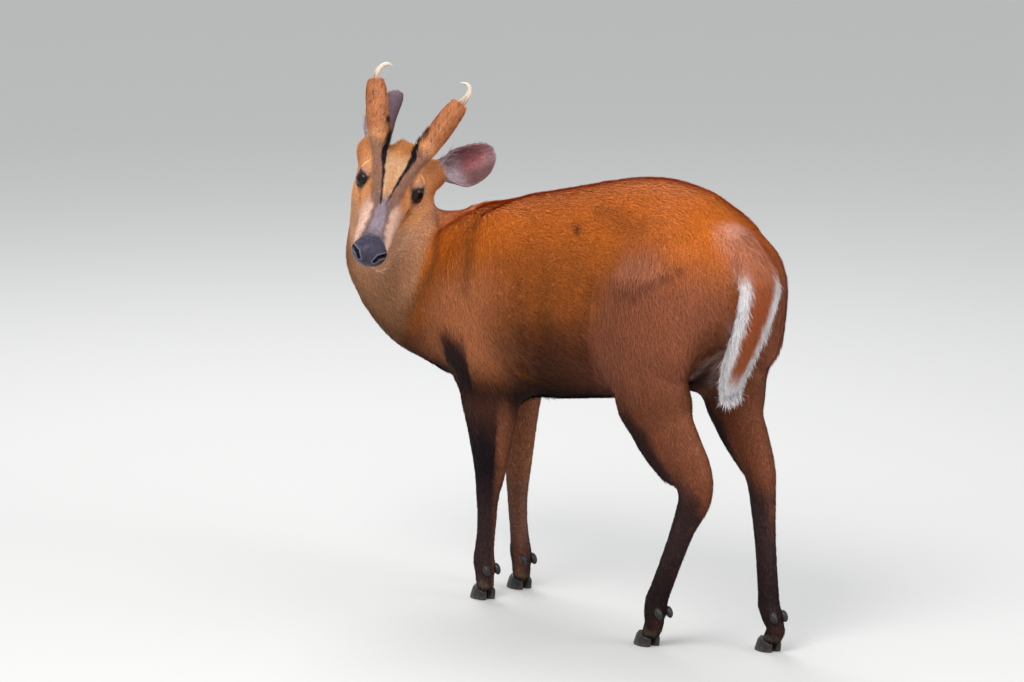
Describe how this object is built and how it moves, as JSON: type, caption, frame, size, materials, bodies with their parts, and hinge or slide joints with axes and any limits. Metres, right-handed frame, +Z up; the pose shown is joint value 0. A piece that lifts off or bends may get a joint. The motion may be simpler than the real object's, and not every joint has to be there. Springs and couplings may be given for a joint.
{
  "type": "muntjac",
  "caption": "Life-size muntjac buck that stands still with its head turned back over its left shoulder, with furred pedicles, short hooked antlers and a hanging tail.",
  "frame": {"origin": "on the floor, under the middle of the model's bounding box", "axes": "-Y the way that the body faces, +X to the animal's left, +Z up"},
  "size_m": [0.3082, 0.7392, 0.6911],
  "materials": {
    "coat_rust": "short glossy rust-orange fur",
    "coat_neck": "short grey-brown fur",
    "coat_face": "very short orange-tan fur",
    "coat_dark": "short dark brown fur",
    "eye": "wet, near-black brown",
    "antler": "polished bone, grooved at the foot",
    "hoof": "dull black horn"
  },
  "bodies": {
    "root": {"torso": "coat_rust", "neck": "coat_neck", "shoulder_left": "coat_rust", "shoulder_right": "coat_rust", "thigh_left": "coat_rust", "thigh_right": "coat_rust", "tail": "coat_rust", "forearm_left": "coat_dark", "forearm_right": "coat_dark", "cannon_fore_left": "coat_dark", "cannon_fore_right": "coat_dark", "shank_left": "coat_dark", "shank_right": "coat_dark", "cannon_hind_left": "coat_dark", "cannon_hind_right": "coat_dark", "head": "coat_face", "ear_left": "coat_face", "ear_right": "coat_face", "pedicle_left": "coat_face", "pedicle_right": "coat_face", "eye_left": "eye", "eye_right": "eye", "antler_left": "antler", "antler_right": "antler", "brow_tine_left": "antler", "brow_tine_right": "antler", "hoof_fore_left_outer": "hoof", "hoof_fore_left_inner": "hoof", "hoof_fore_right_outer": "hoof", "hoof_fore_right_inner": "hoof", "hoof_hind_left_outer": "hoof", "hoof_hind_left_inner": "hoof", "hoof_hind_right_outer": "hoof", "hoof_hind_right_inner": "hoof"}
  },
  "joints": []
}
